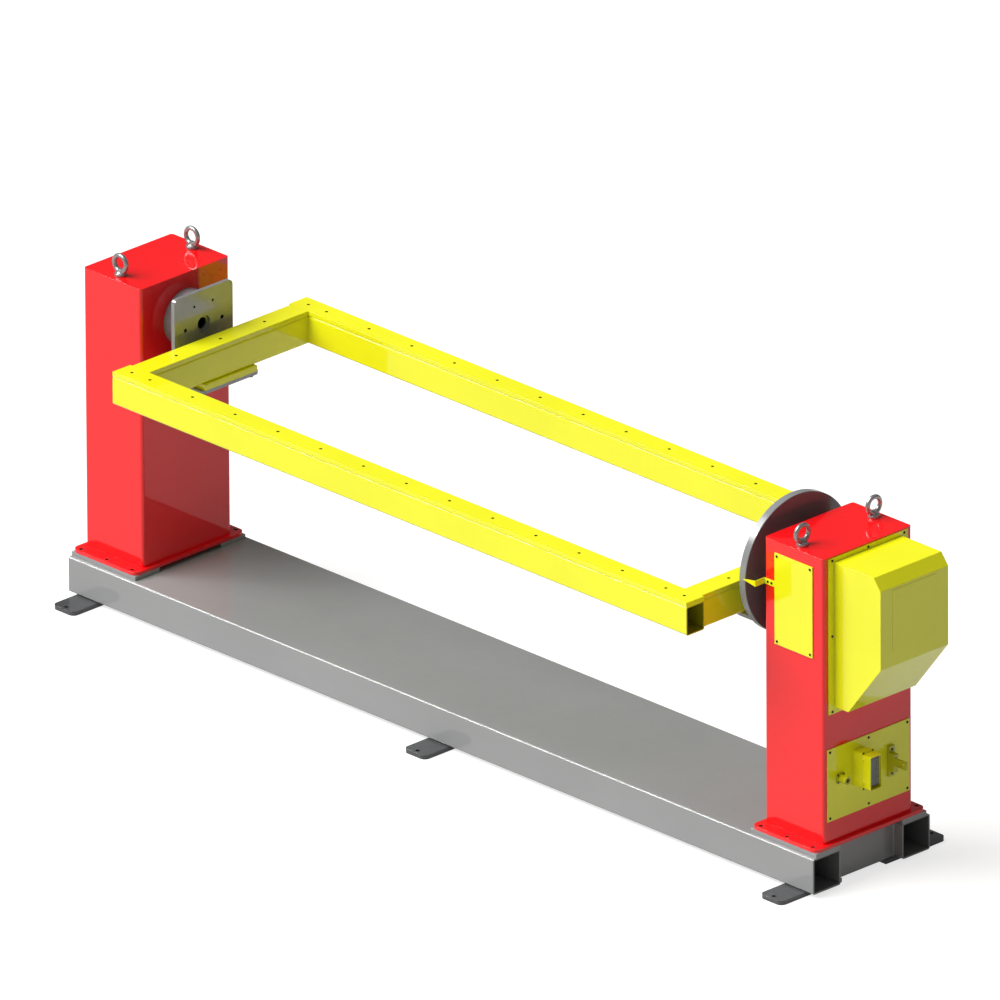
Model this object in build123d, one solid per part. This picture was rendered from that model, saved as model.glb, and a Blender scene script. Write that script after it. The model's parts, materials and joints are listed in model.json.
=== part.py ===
"""Headstock and tailstock welding positioner that turns a long work frame about one level axis.

Millimetres, +Z up. The origin is on the floor, midway between the columns and between the base tubes.
+X runs from the tailstock column to the headstock column, along the turning axis.
"""

from build123d import *
from math import asin, cos, pi, radians, sin
import os

# Clearances
running_gap = 0.05
thread_gap = 0.05
shake_gap = 0.3
cut_past = 1.0

# Base: two long tubes on floor plates
tube_size = 125.0
tube_wall = 6.0
tube_corner = 8.0
tube_gap = 280.0
deck_thickness = 10.0
end_plate_thickness = 10.0
end_plate_recess = 41.0
end_plate_low = 15.0
end_plate_height = 105.0
cross_member_width = 80.0
cross_member_height = 100.0
cross_member_wall = 5.0
cross_member_pitch = 560.0
cross_member_count = 5

# Anchor feet
foot_thickness = 15.0
foot_width = 100.0
foot_reach = 110.0
foot_inset = 165.0
foot_corner = 20.0
foot_end_offset = 85.0
anchor_hole = 16.0
anchor_edge = 18.0

# Column pads and flanges
pad_thickness = 15.0
flange_thickness = 12.0
flange_side_margin = 15.0
flange_end_margin = 50.0
flange_corner = 25.0
flange_window_margin = 60.0
column_screw = 8.0
column_screw_head = 15.0
column_screw_sink = 3.5
column_screw_length = 24.0
column_screw_pitch = 120.0
column_screw_edge = 15.0

# Columns
column_depth = 270.0
column_width = 400.0
column_wall = 8.0
column_corner = 10.0
head_column_rise = 167.0
tail_column_rise = 153.0

# Lifting eyes
eye_ring_outer = 72.0
eye_ring_inner = 40.0
eye_collar = 40.0
eye_collar_height = 10.0
eye_ring_centre = 36.0
eye_thread = 20.0
eye_thread_length = 30.0
eye_offset = 162.0

# Turning axis
axis_height = 1002.0

# Faceplate and its bracket
face_gap = 49.0
face_radius = 240.0
face_thickness = 28.0
face_bore = 30.0
face_screw = 12.0
face_screw_circle = 150.0
face_screw_count = 8
face_screw_grip = 18.0
bracket_thickness = 15.0
bracket_rise = 120.0
shelf_thickness = 12.0
head_shelf_half = 150.0
head_shelf_corner = 50.0
tail_shelf_half = 132.0
tail_shelf_corner = 20.0
bracket_corner = 18.0
tail_plate_stand_off = 72.0
tail_bore_counter = 58.0
tail_bore_counter_depth = 8.0
tail_circle = 166.0
tail_circle_count = 6
tail_hole = 9.0
tail_side_hole = 14.0
tail_screw = 8.0
tail_screw_grip = 11.0
tail_screw_circle = 114.0
head_plate_screw = 12.0
head_plate_screw_y = 105.0
head_plate_screw_rise = 85.0

# Work frame
frame_length = 2670.0
frame_end_room = 115.0
frame_width = 880.0
frame_drop = 29.0
rail_width = 80.0
rail_height = 100.0
rail_wall = 4.0
rail_corner = 8.0
bar_thickness = 16.0
cross_rail_recess = 10.0
frame_hole = 11.0
frame_hole_pitch = 200.0
frame_hole_rows = 13
spacer_height = 20.0
spacer_width = 236.0
shelf_overhang = 10.0
shelf_bolt = 12.0
shelf_bolt_y = 109.0
shelf_bolt_inset = 13.0
shelf_bolt_pitch = 54.0
shelf_bolt_grip = 3.0

# Tailstock bearing cartridge
housing_radius = 98.0
housing_length = 53.0
pilot_radius = 75.0
pilot_length = 110.0
bearing_outer = 125.0
bearing_inner = 80.0
bearing_width = 22.0
bearing_race = 9.0
bearing_rear_land = 17.0
housing_shoulder = 5.0
cover_thickness = 6.0
housing_screw = 12.0
housing_screw_circle = 174.0
housing_screw_turn = 30.0
housing_screw_count = 6
spindle_flange_radius = 75.0
spindle_flange_thickness = 16.0
spindle_bore = 40.0
nut_radius = 55.0
nut_thickness = 14.0
nut_slot = 10.0
rear_cap_wall = 5.0
rear_cap_room = 6.0

# Headstock gear unit
nose_radius = 115.0
nose_length = 24.0
gear_radius = 100.0
gear_length = 190.0
gear_rear_radius = 70.0
gear_rear_length = 22.0
main_spindle_radius = 45.0
main_spindle_length = 165.0
output_flange_radius = 95.0
input_shaft_radius = 17.5
input_shaft_depth = 34.0
nose_screw = 10.0
nose_screw_count = 12

# Belt drive
motor_drop = 262.0
motor_size = 130.0
motor_length = 180.0
motor_corner = 12.0
motor_cap_size = 106.0
motor_cap_length = 42.0
motor_shaft_radius = 12.0
motor_shaft_depth = 140.0
motor_pilot = 80.0
motor_plate_thickness = 12.0
motor_screw = 9.0
motor_screw_pitch = 103.0
tooth_pitch = 10.0
input_teeth = 48
motor_teeth = 24
tooth_depth = 3.0
pulley_width = 34.0
pulley_cheek = 2.5
pulley_cheek_rise = 3.0
pulley_stand_off = 20.0
belt_thickness = 4.0
belt_side_gap = 1.0
belt_gap = 0.3
shaft_nose = 8.0

# Drive guard
guard_drop = 384.0
guard_rise = 162.0
guard_half = 180.0
guard_flange = 3.0
guard_wall = 3.0
hood_half = 153.0
hood_drop = 361.0
hood_rise = 146.0
hood_depth = 214.0
hood_low_depth = 65.0
hood_slope_rise = 191.0
hood_chamfer_depth = 31.0
hood_chamfer_drop = 40.0
hood_panel = 1.0
hood_panel_half = 100.0
hood_panel_drop = 115.0
hood_panel_rise = 96.0
drive_window_margin = 35.0
guard_screw_inset = 17.0
guard_screw_end = 8.0
small_screw = 5.0
small_screw_head = 9.0
small_screw_rise = 2.7

# Access panel on the headstock's front side
access_width = 174.0
access_height = 320.0
access_drop = 193.0
access_thickness = 3.0
access_lap = 17.0
access_screw_inset = 11.0

# Connector panel on the headstock's end
panel_half = 186.0
panel_rise = 76.0
panel_height = 254.0
panel_thickness = 3.0
panel_screw_inset = 11.0
plug_y = -44.0
plug_rise = 157.0
plug_width = 52.0
plug_height = 118.0
plug_base_depth = 37.0
plug_flange_thickness = 4.0
plug_flange_height = 132.0
plug_depth = 79.0
plug_wall = 2.5
plug_corner = 5.0
insert_recess = 12.0
insert_height = 100.0
pin_rows = 12
pin_pitch = 7.0
pin_spread = 15.0
pin_size = 3.0
pin_rise = 6.0
peg_radius = 4.0
peg_rise = 5.0
peg_spread = 40.0
peg_back = 9.0
coupling_y = -131.0
coupling_rise = 142.0
coupling_radius = 14.0
coupling_length = 38.0
coupling_bore = 8.0
coupling_flange = 34.0
coupling_flange_thickness = 5.0
earth_y = 95.0
earth_rise = 134.0
earth_strip_width = 26.0
earth_strip_height = 106.0
earth_strip_thickness = 11.0
earth_block_height = 64.0
earth_block_width = 18.0
earth_block_depth = 23.0
earth_tab_thickness = 6.0
earth_tab_height = 28.0
earth_tab_length = 55.0
earth_tab_rise = 141.0
earth_hole = 12.0
earth_screw_pitch = 83.0

# Angle pointer
pointer_rise = 15.0
pointer_height = 20.0
pointer_thickness = 3.0
pointer_foot = 48.0
pointer_leg = 45.0
pointer_tip_gap = 4.0
pointer_tip_height = 2.0
pointer_screw_inset = 12.0
pointer_screw_pitch = 17.0

# Worked-out places
frame_half = frame_length / 2
column_in = frame_half + frame_end_room
column_x = column_in + column_depth / 2
column_out = column_in + column_depth
base_half = column_out + flange_side_margin
tube_in = tube_gap / 2
tube_mid = tube_in + tube_size / 2
tube_out = tube_in + tube_size
base_top = foot_thickness + tube_size
pad_top = base_top + pad_thickness
flange_top = pad_top + flange_thickness
column_half = column_width / 2
flange_half_x = column_depth / 2 + flange_side_margin
flange_half_y = column_half + flange_end_margin
head_top = axis_height + head_column_rise
tail_top = axis_height + tail_column_rise
anchor_y = tube_out + foot_reach - anchor_edge
anchor_x = base_half - foot_end_offset
face_out = column_in - face_gap
face_in = face_out - face_thickness
frame_half_y = frame_width / 2
frame_top = axis_height - frame_drop
bar_low = frame_top - bar_thickness
rail_low = bar_low - rail_height
rail_y = frame_half_y - rail_width / 2
cross_out = frame_half - cross_rail_recess
cross_x = cross_out - rail_width / 2
cross_in = cross_out - rail_width
cross_half_y = frame_half_y - rail_width
shelf_top = rail_low - spacer_height
shelf_low = shelf_top - shelf_thickness
shelf_end = cross_in - shelf_overhang
tail_plate_in = column_in - tail_plate_stand_off - bracket_thickness
tail_plate_back = column_in - tail_plate_stand_off
wall_inner = column_out - column_wall
pulley_near = column_out + pulley_stand_off
input_radius = input_teeth * tooth_pitch / (2 * pi)
motor_radius = motor_teeth * tooth_pitch / (2 * pi)
motor_z = axis_height - motor_drop
guard_low = axis_height - guard_drop
guard_high = axis_height + guard_rise
hood_low = axis_height - hood_drop
hood_high = axis_height + hood_rise
access_low = axis_height - access_drop
panel_low = flange_top + panel_rise
panel_high = panel_low + panel_height
plug_z = panel_low + plug_rise
coupling_z = panel_low + coupling_rise
earth_z = panel_low + earth_rise
earth_tab_z = panel_low + earth_tab_rise
pointer_z = axis_height + pointer_rise


def face_x(x):
    """Sketch plane across X: its axes are Y and Z."""
    return Plane(origin=(x, 0, 0), x_dir=(0, 1, 0), z_dir=(1, 0, 0))


def face_y(y):
    """Sketch plane across Y: its axes are X and Z."""
    return Plane(origin=(0, y, 0), x_dir=(1, 0, 0), z_dir=(0, -1, 0))


def block(x, y, z):
    """Box between the given pairs of limits."""
    size = [max(pair) - min(pair) for pair in (x, y, z)]
    middle = [sum(pair) / 2 for pair in (x, y, z)]
    return Pos(*middle) * Box(*size)


def prism_x(sketch, low, high):
    return extrude(face_x(low) * sketch, amount=high - low)


def prism_y(sketch, low, high):
    return extrude(face_y(high) * sketch, amount=high - low)


def prism_z(sketch, low, high):
    return extrude(Pos(0, 0, low) * sketch, amount=high - low)


def rod_x(radius, low, high, y=0.0, z=0.0):
    return prism_x(Pos(y, z) * Circle(radius), low, high)


def rod_y(radius, low, high, x=0.0, z=0.0):
    return prism_y(Pos(x, z) * Circle(radius), low, high)


def rod_z(radius, low, high, x=0.0, y=0.0):
    return prism_z(Pos(x, y) * Circle(radius), low, high)


def ring_x(outer, inner, low, high, y=0.0, z=axis_height):
    return rod_x(outer, low, high, y, z) - rod_x(inner, low - cut_past, high + cut_past, y, z)


def circle_points(count, diameter, start=0.0):
    """Y and Z of holes on a circle about the turning axis."""
    angles = [radians(start + 360 * i / count) for i in range(count)]
    return [(diameter / 2 * cos(a), axis_height + diameter / 2 * sin(a)) for a in angles]


def mirror_x(solid):
    return mirror(solid, about=Plane.YZ)


def save(name, *solids):
    """Write one node, as one solid or a group of separate solids."""
    shape = solids[0] if len(solids) == 1 else Compound(children=list(solids))
    export_step(shape, f"parts/{name}.step")


def square_tube(low, high, width, height, wall, corner, y, z, along="x"):
    """Rectangular tube with open ends; y is the middle of its width and z of its height."""
    outer = RectangleRounded(width, height, corner)
    inner = RectangleRounded(width - 2 * wall, height - 2 * wall, max(corner - wall, 1))
    prism = prism_x if along == "x" else prism_y
    return prism(Pos(y, z) * (outer - inner), low, high)


def screw_x(x, y, z, head_x, shank, head, rise, length, toward=1):
    """Round-headed screw along X; its head stands out of head_x, towards +X or -X."""
    shank_end = head_x - toward * length
    rise_end = head_x + toward * rise
    body = rod_x(shank / 2 - thread_gap, min(shank_end, head_x), max(shank_end, head_x), y, z)
    cap = rod_x(head / 2, min(head_x, rise_end), max(head_x, rise_end), y, z)
    return body + cap


def base_parts():
    for name, side in (("base_tube_front", -1), ("base_tube_back", 1)):
        middle = foot_thickness + tube_size / 2
        save(name, square_tube(-base_half, base_half, tube_size, tube_size, tube_wall,
                               tube_corner, side * tube_mid, middle))
    plate_out = base_half - end_plate_recess
    plate_in = plate_out - end_plate_thickness
    end_plate = block((plate_in, plate_out), (-tube_in, tube_in),
                      (end_plate_low, end_plate_low + end_plate_height))
    save("end_plates", end_plate, mirror_x(end_plate))
    deck = block((-plate_in, plate_in), (-tube_in - tube_corner, tube_in + tube_corner),
                 (base_top - deck_thickness, base_top))
    for side in (-1, 1):
        outline = Pos(side * tube_mid, foot_thickness + tube_size / 2) * RectangleRounded(
            tube_size, tube_size, tube_corner)
        deck -= prism_x(outline, -base_half, base_half)
    save("deck_plate", deck)
    member_top = base_top - deck_thickness
    first = -(cross_member_count - 1) / 2 * cross_member_pitch
    members = [square_tube(-tube_in, tube_in, cross_member_width, cross_member_height,
                           cross_member_wall, tube_corner, first + i * cross_member_pitch,
                           member_top - cross_member_height / 2, along="y")
               for i in range(cross_member_count)]
    save("cross_members", *members)


def anchor_foot(x, side):
    """Floor plate under one tube, with its outer corners rounded and one anchor hole."""
    inner, outer = tube_out - foot_inset, tube_out + foot_reach
    outline = Pos(x, side * (inner + outer) / 2) * Rectangle(foot_width, outer - inner)
    far = outline.vertices().group_by(Axis.Y)[-1 if side > 0 else 0]
    outline = fillet(far, foot_corner)
    hole = Pos(x, side * anchor_y) * Circle(anchor_hole / 2)
    return prism_z(outline - hole, 0, foot_thickness)


def feet_parts():
    save("anchor_feet", *[anchor_foot(x, side) for x in (-anchor_x, 0, anchor_x)
                          for side in (-1, 1)])


def column_screw_places(side):
    return [(side * column_x + i * column_screw_pitch, j * (flange_half_y - column_screw_edge))
            for i in (-1, 0, 1) for j in (-1, 1)]


def column_screw_shape(x, y, gap=0.0):
    """Countersunk screw, or with a gap the hole that it goes in."""
    shank = column_screw / 2 - thread_gap + gap
    head = column_screw_head / 2 - thread_gap + gap
    bottom = flange_top - column_screw_length - 20 * gap
    cone = Pos(x, y, flange_top - column_screw_sink / 2) * Cone(shank, head, column_screw_sink)
    screw = rod_z(shank, bottom, flange_top - column_screw_sink, x, y) + cone
    if gap:
        return screw
    hexagon = Pos(x, y) * RegularPolygon(column_screw_head / 3, 6)
    return screw - prism_z(hexagon, flange_top - column_screw_sink, flange_top + cut_past)


def flange_parts():
    pads, screws = [], []
    for name, side in (("tail_column_flange", -1), ("head_column_flange", 1)):
        x = side * column_x
        outline = Pos(x, 0) * RectangleRounded(2 * flange_half_x, 2 * flange_half_y, flange_corner)
        window = Pos(x, 0) * RectangleRounded(column_depth - 2 * flange_window_margin,
                                              column_width - 2 * flange_window_margin, flange_corner)
        flange = prism_z(outline - window, pad_top, flange_top)
        holes = [column_screw_shape(*place, gap=2 * thread_gap)
                 for place in column_screw_places(side)]
        save(name, flange - holes)
        for y_side in (-1, 1):
            pad = block((x - flange_half_x, x + flange_half_x),
                        (y_side * tube_in, y_side * flange_half_y), (base_top, pad_top))
            pads.append(pad - holes)
        screws += [column_screw_shape(*place) for place in column_screw_places(side)]
    save("column_pads", *pads)
    save("column_screws", *screws)


def column_shell(side, top):
    """Box column with a closed top and an open foot."""
    x = side * column_x
    outer = Pos(x, 0) * RectangleRounded(column_depth, column_width, column_corner)
    inner = Pos(x, 0) * RectangleRounded(column_depth - 2 * column_wall,
                                         column_width - 2 * column_wall, column_corner - column_wall)
    shell = prism_z(outer, flange_top, top) - prism_z(inner, flange_top - cut_past, top - column_wall)
    for y_side in (-1, 1):
        shell -= rod_z(eye_thread / 2, top - column_wall - cut_past, top + cut_past, x, y_side * eye_offset)
    return shell


def tail_column():
    shell = column_shell(-1, tail_top)
    shell -= rod_x(pilot_radius + thread_gap, -column_in - 2 * column_wall, -column_in + cut_past,
                   z=axis_height)
    for y, z in circle_points(housing_screw_count, housing_screw_circle, housing_screw_turn):
        shell -= rod_x(housing_screw / 2, -column_in - 2 * column_wall, -column_in + cut_past, y, z)
    save("tail_column", shell)


def hood_profile():
    """Side outline of the hood, in X and Z."""
    near, far = column_out, column_out + hood_depth
    return Polyline((near, hood_low), (near + hood_low_depth, hood_low),
                    (far, hood_low + hood_slope_rise), (far, hood_high - hood_chamfer_drop),
                    (far - hood_chamfer_depth, hood_high), (near, hood_high), close=True)


def guard_screw_places():
    y = guard_half - guard_screw_inset
    low, high = guard_low + guard_screw_end, guard_high - guard_screw_end
    middle = (low + high) / 2
    return [(side * y, z) for side in (-1, 1) for z in (low, middle, high)] + [(0, low), (0, high)]


def panel_screw_places():
    y = panel_half - panel_screw_inset
    return [(i * y, z) for i in (-1, 0, 1)
            for z in (panel_low + panel_screw_inset, panel_high - panel_screw_inset)]


def access_screw_places():
    x = access_width / 2 - access_screw_inset
    low, high = access_low + access_screw_inset, access_low + access_height - access_screw_inset
    return [(column_x + i * x, z) for i in (-1, 1) for z in (low, high)]


def pointer_screw_places():
    first = column_in + 1.5 * pointer_screw_inset
    return [(first + i * pointer_screw_pitch, pointer_z) for i in (0, 1)]


def drive_window():
    """Opening in the column's outer wall behind the guard, in Y and Z."""
    half = hood_half - drive_window_margin
    low, high = hood_low + drive_window_margin, hood_high - drive_window_margin
    return Pos(0, (low + high) / 2) * RectangleRounded(2 * half, high - low, column_corner)


def head_column():
    shell = column_shell(1, head_top)
    shell -= rod_x(gear_radius + thread_gap, column_in - cut_past, column_in + 2 * column_wall,
                   z=axis_height)
    for y, z in circle_points(nose_screw_count, gear_radius + nose_radius):
        shell -= rod_x(nose_screw / 2, column_in - cut_past, column_in + 2 * column_wall, y, z)
    shell -= prism_x(drive_window(), wall_inner - cut_past, column_out + cut_past)
    plug_room = RectangleRounded(plug_width - 2 * plug_wall, plug_height - 2 * plug_wall, plug_corner)
    shell -= prism_x(Pos(plug_y, plug_z) * plug_room, wall_inner - cut_past, column_out + cut_past)
    width, height = access_width - 2 * access_lap, access_height - 2 * access_lap
    access = Pos(column_x, access_low + access_height / 2) * RectangleRounded(width, height, 10)
    shell -= prism_y(access, -column_half - cut_past, -column_half + 2 * column_wall)
    tap = small_screw / 2
    for y, z in guard_screw_places() + panel_screw_places():
        shell -= rod_x(tap, wall_inner - cut_past, column_out + cut_past, y, z)
    for x, z in access_screw_places() + pointer_screw_places():
        shell -= rod_y(tap, -column_half - cut_past, -column_half + 2 * column_wall, x, z)
    save("head_column", shell)


def lifting_eye(x, y, top, turned):
    """Eye bolt: forged ring on a collar, with its thread through the column's top."""
    centre = top + eye_collar_height + eye_ring_centre - 4
    thickness = (eye_ring_outer - eye_ring_inner) / 4
    middle = (eye_ring_outer + eye_ring_inner) / 4
    facing = Rot(0, 90, 0) if turned else Rot(90, 0, 0)
    ring = Pos(x, y, centre) * facing * Torus(middle, thickness)
    collar = rod_z(eye_collar / 2, top, top + eye_collar_height, x, y)
    neck_base = Pos(x, y, top + eye_collar_height + 4) * Cone(eye_collar / 2 - 2, thickness + 3, 8)
    thread = rod_z(eye_thread / 2 - thread_gap, top - eye_thread_length, top, x, y)
    return ring + collar + neck_base + thread


def eye_parts():
    places = (("lifting_eye_tail_front", -1, -1, tail_top), ("lifting_eye_tail_back", -1, 1, tail_top),
              ("lifting_eye_head_front", 1, -1, head_top), ("lifting_eye_head_back", 1, 1, head_top))
    for name, side, y_side, top in places:
        save(name, lifting_eye(side * column_x, y_side * eye_offset, top, side > 0))


def tail_cartridge():
    """Flanged bearing housing, bearings, spindle and lock nut of the tailstock."""
    front = -column_in + housing_length
    front_race = front - cover_thickness
    front_bearing = front_race - bearing_width
    rear = -column_in - pilot_length
    rear_bearing = rear + bearing_rear_land
    rear_race = rear_bearing + bearing_width
    seat = bearing_outer / 2
    body = rod_x(housing_radius, -column_in, front, z=axis_height)
    body = fillet(body.edges().filter_by(GeomType.CIRCLE).sort_by(Axis.X)[-1], 2)
    body += rod_x(pilot_radius, rear, -column_in, z=axis_height)
    body -= rod_x(seat, front_bearing, front + cut_past, z=axis_height)
    body -= rod_x(seat, rear - cut_past, rear_race, z=axis_height)
    body -= rod_x(seat - housing_shoulder, rear - cut_past, front + cut_past, z=axis_height)
    screws = []
    for y, z in circle_points(housing_screw_count, housing_screw_circle, housing_screw_turn):
        head = front - housing_screw
        body -= rod_x(housing_screw / 2, -column_in - cut_past, front + cut_past, y, z)
        body -= rod_x(housing_screw * 0.75 + shake_gap, head, front + cut_past, y, z)
        shank = rod_x(housing_screw / 2 - thread_gap, -column_in - column_wall, head, y, z)
        screws.append(shank + rod_x(housing_screw * 0.75, head, front, y, z))
    save("bearing_housing", body)
    save("housing_screws", *screws)
    save("front_seal_cover", ring_x(seat, bearing_inner / 2 + shake_gap, front_race, front))
    race_in = bearing_inner / 2 + bearing_race
    outer_race_in = race_in + running_gap
    save("bearing_outer_rings", ring_x(seat, outer_race_in, front_bearing, front_race),
         ring_x(seat, outer_race_in, rear_bearing, rear_race))
    save("bearing_inner_rings", ring_x(race_in, bearing_inner / 2, front_bearing, front_race),
         ring_x(race_in, bearing_inner / 2, rear_bearing, rear_race))
    cap_end = rear - nut_thickness - rear_cap_room - rear_cap_wall
    cap = rod_x(pilot_radius, cap_end, rear, z=axis_height)
    cap -= rod_x(seat, cap_end + rear_cap_wall, rear + cut_past, z=axis_height)
    save("rear_cap", cap)
    flange_back = -tail_plate_back - spindle_flange_thickness
    spindle = rod_x(spindle_flange_radius, flange_back, -tail_plate_back, z=axis_height)
    spindle += rod_x(bearing_inner / 2, rear_bearing - nut_thickness - 2, flange_back, z=axis_height)
    spindle -= rod_x(spindle_bore / 2, rear_bearing - nut_thickness - 3, -tail_plate_back + cut_past,
                     z=axis_height)
    screws = []
    for y, z in tail_screw_points():
        sink = flange_back + tail_screw
        spindle -= rod_x(tail_screw / 2, flange_back - cut_past, -tail_plate_back + cut_past, y, z)
        spindle -= rod_x(tail_screw * 0.75 + thread_gap, flange_back - cut_past, sink, y, z)
        shank = rod_x(tail_screw / 2 - thread_gap, sink, -tail_plate_back + tail_screw_grip, y, z)
        screws.append(shank + rod_x(tail_screw * 0.75, flange_back + thread_gap, sink, y, z))
    save("tail_spindle", spindle)
    nut = ring_x(nut_radius, bearing_inner / 2, rear_bearing - nut_thickness, rear_bearing)
    for i in range(4):
        slot = Pos(0, 0, axis_height) * Rot(90 * i, 0, 0) * Pos(
            rear_bearing - nut_thickness / 2, 0, nut_radius) * Box(nut_thickness + 2, nut_slot, nut_slot)
        nut -= slot
    save("lock_nut", nut)
    return screws


def tail_screw_points():
    """Screws from behind, through the spindle's flange into the bracket plate."""
    return circle_points(tail_circle_count, tail_screw_circle, 30)


def rounded_shelf(near, far, half, corner):
    """Horizontal plate from near to far along X, with the two corners at near rounded."""
    outline = Pos((near + far) / 2, 0) * Rectangle(abs(far - near), 2 * half)
    ends = outline.vertices().group_by(Axis.X)[0 if near < far else -1]
    return prism_z(fillet(ends, corner), shelf_low, shelf_top)


def shelf_bolt_places(side):
    first = cross_in + shelf_bolt_inset
    return [(side * (first + i * shelf_bolt_pitch), j * shelf_bolt_y)
            for i in (0, 1) for j in (-1, 1)]


def shelf_bolt_shape(x, y):
    """Cap screw from below, through the shelf and into the rail's lower wall."""
    radius = shelf_bolt / 2
    shank = rod_z(radius - thread_gap, shelf_low, rail_low + rail_wall + shelf_bolt_grip, x, y)
    head = rod_z(radius * 1.5, shelf_low - shelf_bolt, shelf_low, x, y)
    socket = prism_z(Pos(x, y) * RegularPolygon(radius * 0.8, 6), shelf_low - shelf_bolt - cut_past,
                     shelf_low - radius)
    return shank + head - socket


def tail_bracket():
    outline = Pos(0, (shelf_low + axis_height + bracket_rise) / 2) * Rectangle(
        2 * tail_shelf_half, axis_height + bracket_rise - shelf_low)
    top_corners = outline.vertices().group_by(Axis.Y)[-1]
    plate = prism_x(fillet(top_corners, bracket_corner), -tail_plate_back, -tail_plate_in)
    plate -= rod_x(spindle_bore / 2, -tail_plate_back - cut_past, -tail_plate_in + cut_past, z=axis_height)
    plate -= rod_x(tail_bore_counter / 2, -tail_plate_in - tail_bore_counter_depth,
                   -tail_plate_in + cut_past, z=axis_height)
    for i, (y, z) in enumerate(circle_points(tail_circle_count, tail_circle)):
        radius = (tail_side_hole if i % 3 == 0 else tail_hole) / 2
        plate -= rod_x(radius, -tail_plate_back - cut_past, -tail_plate_in + cut_past, y, z)
    for y, z in tail_screw_points():
        plate -= rod_x(tail_screw / 2, -tail_plate_back - cut_past, -tail_plate_back + tail_screw_grip, y, z)
    save("tail_bracket_plate", plate)
    shelf = rounded_shelf(-shelf_end, -tail_plate_in, tail_shelf_half, tail_shelf_corner)
    save("tail_bracket_shelf", drill_shelf(shelf, -1))


def drill_shelf(shelf, side):
    for x, y in shelf_bolt_places(side):
        shelf -= rod_z(shelf_bolt / 2, shelf_low - cut_past, shelf_top + cut_past, x, y)
    return shelf


def head_plate_screw_points():
    return [(i * head_plate_screw_y, axis_height + j * head_plate_screw_rise)
            for i in (-1, 1) for j in (-1, 1)]


def faceplate_parts():
    face = rod_x(face_radius, face_in, face_out, z=axis_height)
    face = chamfer(face.edges().filter_by(GeomType.CIRCLE), 1.5)
    face -= rod_x(face_bore, face_in - cut_past, face_out + cut_past, z=axis_height)
    sink = face_in + face_screw
    screws = []
    for y, z in circle_points(face_screw_count, face_screw_circle, 22.5):
        face -= rod_x(face_screw / 2, face_in - cut_past, face_out + cut_past, y, z)
        face -= rod_x(face_screw * 0.75 + thread_gap, face_in - cut_past, sink, y, z)
        shank = rod_x(face_screw / 2 - thread_gap, sink, face_out + face_screw_grip, y, z)
        screws.append(shank + rod_x(face_screw * 0.75, face_in + thread_gap, sink, y, z))
    plate_near = face_in - bracket_thickness
    outline = Pos(0, (shelf_low + axis_height + bracket_rise) / 2) * Rectangle(
        2 * head_shelf_half, axis_height + bracket_rise - shelf_low)
    top_corners = outline.vertices().group_by(Axis.Y)[-1]
    plate = prism_x(fillet(top_corners, bracket_corner), plate_near, face_in)
    plate -= rod_x(face_bore, plate_near - cut_past, face_in + cut_past, z=axis_height)
    for y, z in head_plate_screw_points():
        plate -= rod_x(head_plate_screw / 2, plate_near - cut_past, face_in + cut_past, y, z)
        face -= rod_x(head_plate_screw / 2, face_in - cut_past, face_out - 5, y, z)
        screws.append(screw_x(0, y, z, plate_near, head_plate_screw, head_plate_screw * 1.5,
                              head_plate_screw, bracket_thickness + 15, toward=-1))
    save("faceplate", face)
    save("head_bracket_plate", plate)
    shelf = rounded_shelf(shelf_end, plate_near, head_shelf_half, head_shelf_corner)
    save("head_bracket_shelf", drill_shelf(shelf, 1))
    return screws


def hole_columns():
    """X places of the holes along a long rail, with the corner hole at each end."""
    first = -(frame_hole_rows - 1) / 2 * frame_hole_pitch
    rows = [first + i * frame_hole_pitch for i in range(frame_hole_rows)]
    return [-cross_x] + rows + [cross_x]


def rail_with_bar(tube, bar, holes):
    """Drill the bar and the tube's upper wall at each hole."""
    for x, y in holes:
        bar -= rod_z(frame_hole / 2, bar_low - cut_past, frame_top + cut_past, x, y)
        tube -= rod_z(frame_hole / 2, bar_low - 2 * rail_wall, bar_low + cut_past, x, y)
    return tube, bar


def frame_parts():
    middle = bar_low - rail_height / 2
    bars, spacers, bolts = [], [], []
    for name, side in (("front", -1), ("back", 1)):
        tube = square_tube(-frame_half, frame_half, rail_width, rail_height, rail_wall,
                           rail_corner, side * rail_y, middle)
        bar = block((-frame_half, frame_half),
                    (side * rail_y - rail_width / 2, side * rail_y + rail_width / 2),
                    (bar_low, frame_top))
        holes = [(x, side * rail_y) for x in hole_columns()]
        tube, bar = rail_with_bar(tube, bar, holes)
        save(f"long_rail_{name}", tube)
        bars.append(bar)
    save("long_bars", *bars)
    bars = []
    for name, side in (("tail", -1), ("head", 1)):
        tube = square_tube(-cross_half_y, cross_half_y, rail_width, rail_height, rail_wall,
                           rail_corner, side * cross_x, middle, along="y")
        bar = block((side * cross_in, side * cross_out), (-cross_half_y, cross_half_y),
                    (bar_low, frame_top))
        holes = [(side * cross_x, i * frame_hole_pitch) for i in (-1, 0, 1)]
        tube, bar = rail_with_bar(tube, bar, holes)
        for x, y in shelf_bolt_places(side):
            tube -= rod_z(shelf_bolt / 2, rail_low - cut_past, rail_low + 2 * rail_wall, x, y)
        save(f"cross_rail_{name}", tube)
        bars.append(bar)
        spacer = block((side * shelf_end, side * (shelf_end + rail_width + shelf_overhang)),
                       (-spacer_width / 2, spacer_width / 2), (shelf_top, rail_low))
        for x, y in shelf_bolt_places(side):
            spacer -= rod_z(shelf_bolt / 2, shelf_top - cut_past, rail_low + cut_past, x, y)
        spacers.append(spacer)
        bolts += [shelf_bolt_shape(x, y) for x, y in shelf_bolt_places(side)]
    save("cross_bars", *bars)
    save("shelf_spacers", *spacers)
    save("shelf_bolts", *bolts)


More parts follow.
